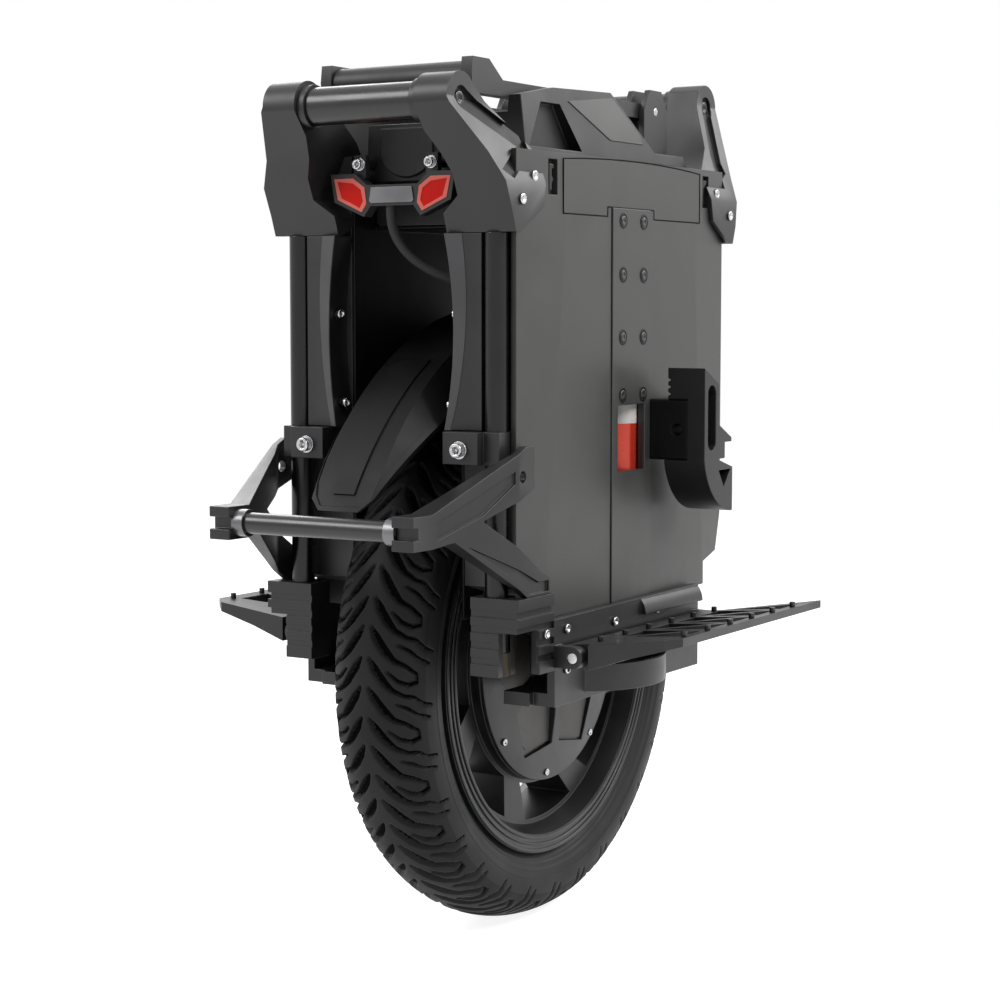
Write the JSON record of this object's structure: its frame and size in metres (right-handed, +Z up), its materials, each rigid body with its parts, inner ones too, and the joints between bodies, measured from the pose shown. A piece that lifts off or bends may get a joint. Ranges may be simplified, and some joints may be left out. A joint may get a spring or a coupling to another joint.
{
  "type": "electric unicycle",
  "caption": "Electric unicycle: a hub-motor wheel in a sprung carriage between tall battery cases, with fold-down pedals, carrying handles, trolley handle, rear bumper and tail lamp.",
  "frame": {"origin": "on the ground, under the middle of the axle", "axes": "+X is forward, +Y is left along the axle, +Z is up"},
  "size_m": [0.577, 0.492, 0.789],
  "materials": {
    "tyre_rubber": "matte moulded",
    "cast_black_alloy": "satin powder coat",
    "black_alloy": "satin black anodised",
    "grey_alloy": "machined",
    "case_skin": "satin moulded",
    "black_steel": "black hard coat",
    "steel": "turned",
    "bush_bronze": "sintered",
    "black_plastic": "fine moulded grain",
    "battery_wrap": "shrink wrap",
    "red_anodised": "gloss anodised",
    "red_lens": "gloss",
    "clear_lens": "clear",
    "cable_rubber": "matte"
  },
  "bodies": {
    "chassis": {"battery_case_right": "case_skin", "battery_case_left": "case_skin", "battery_packs": "battery_wrap", "side_cover_right": "case_skin", "side_cover_left": "case_skin", "centre_strips": "case_skin", "wheel_arch": "black_plastic", "controller_box": "black_alloy", "fender": "black_plastic", "rear_handle_arm_right": "black_alloy", "rear_handle_arm_left": "black_alloy", "front_handle_arms": "black_alloy", "rear_handle_tube": "black_alloy", "front_handle_tube": "black_alloy", "handle_collars": "black_alloy", "rear_pillars": "black_alloy", "front_pillars": "black_alloy", "stanchions": "black_steel", "stanchion_clamps": "black_alloy", "tail_lamp_housing": "black_plastic", "tail_lamp_lenses": "red_lens", "rear_box": "black_plastic", "headlight_housing": "black_plastic", "headlight_lens": "clear_lens", "tail_lamp_cable": "cable_rubber", "top_cover": "black_plastic", "trolley_brackets": "black_alloy", "trolley_pins": "steel", "side_pad_brackets": "black_plastic", "side_pads": "black_plastic", "shock_bodies": "red_anodised"},
    "carriage": {"axle": "steel", "axle_nuts": "steel", "stator": "steel", "hanger_right": "black_alloy", "hanger_left": "black_alloy", "pedal_pins": "steel", "rear_slider_right": "black_alloy", "rear_slider_left": "black_alloy", "front_sliders": "black_alloy", "bumper_arm_right": "black_alloy", "bumper_arm_left": "black_alloy", "bumper_bar": "black_alloy", "bumper_collars": "grey_alloy", "shock_shafts": "steel", "slider_bushes": "bush_bronze"},
    "wheel": {"tyre": "tyre_rubber", "rim": "cast_black_alloy", "hub_covers": "cast_black_alloy", "wheel_bearings": "steel", "rotor_magnets": "steel"},
    "right_pedal": {"pedal_right": "black_alloy", "pedal_studs_right": "steel"},
    "left_pedal": {"pedal_left": "black_alloy", "pedal_studs_left": "steel"},
    "trolley": {"trolley_arms": "black_alloy", "trolley_grip": "black_plastic"},
    "power_button": {"power_button": "black_plastic"}
  },
  "joints": [
    {"name": "suspension", "type": "slide", "parent": "chassis", "child": "carriage", "axis": [0, 0, 1], "range_m": [0, 0.06], "stiffness_N_per_m": 14000, "springref_m": -0.06},
    {"name": "wheel_spin", "type": "hinge", "parent": "carriage", "child": "wheel", "pos_m": [0, 0, 0.25], "axis": [0, 1, 0], "continuous": true},
    {"name": "right_pedal_fold", "type": "hinge", "parent": "carriage", "child": "right_pedal", "pos_m": [0, -0.148, 0.274], "axis": [1, 0, 0], "range_deg": [-80, 0]},
    {"name": "left_pedal_fold", "type": "hinge", "parent": "carriage", "child": "left_pedal", "pos_m": [0, 0.148, 0.274], "axis": [-1, 0, 0], "range_deg": [-80, 0]},
    {"name": "trolley_flip", "type": "hinge", "parent": "chassis", "child": "trolley", "pos_m": [0.118, 0, 0.757], "axis": [0, 1, 0], "range_deg": [0, 105]},
    {"name": "power_button_press", "type": "slide", "parent": "chassis", "child": "power_button", "axis": [0, 0, 1], "range_m": [-0.0015, 0], "stiffness_N_per_m": 800, "springref_m": 0.001}
  ]
}
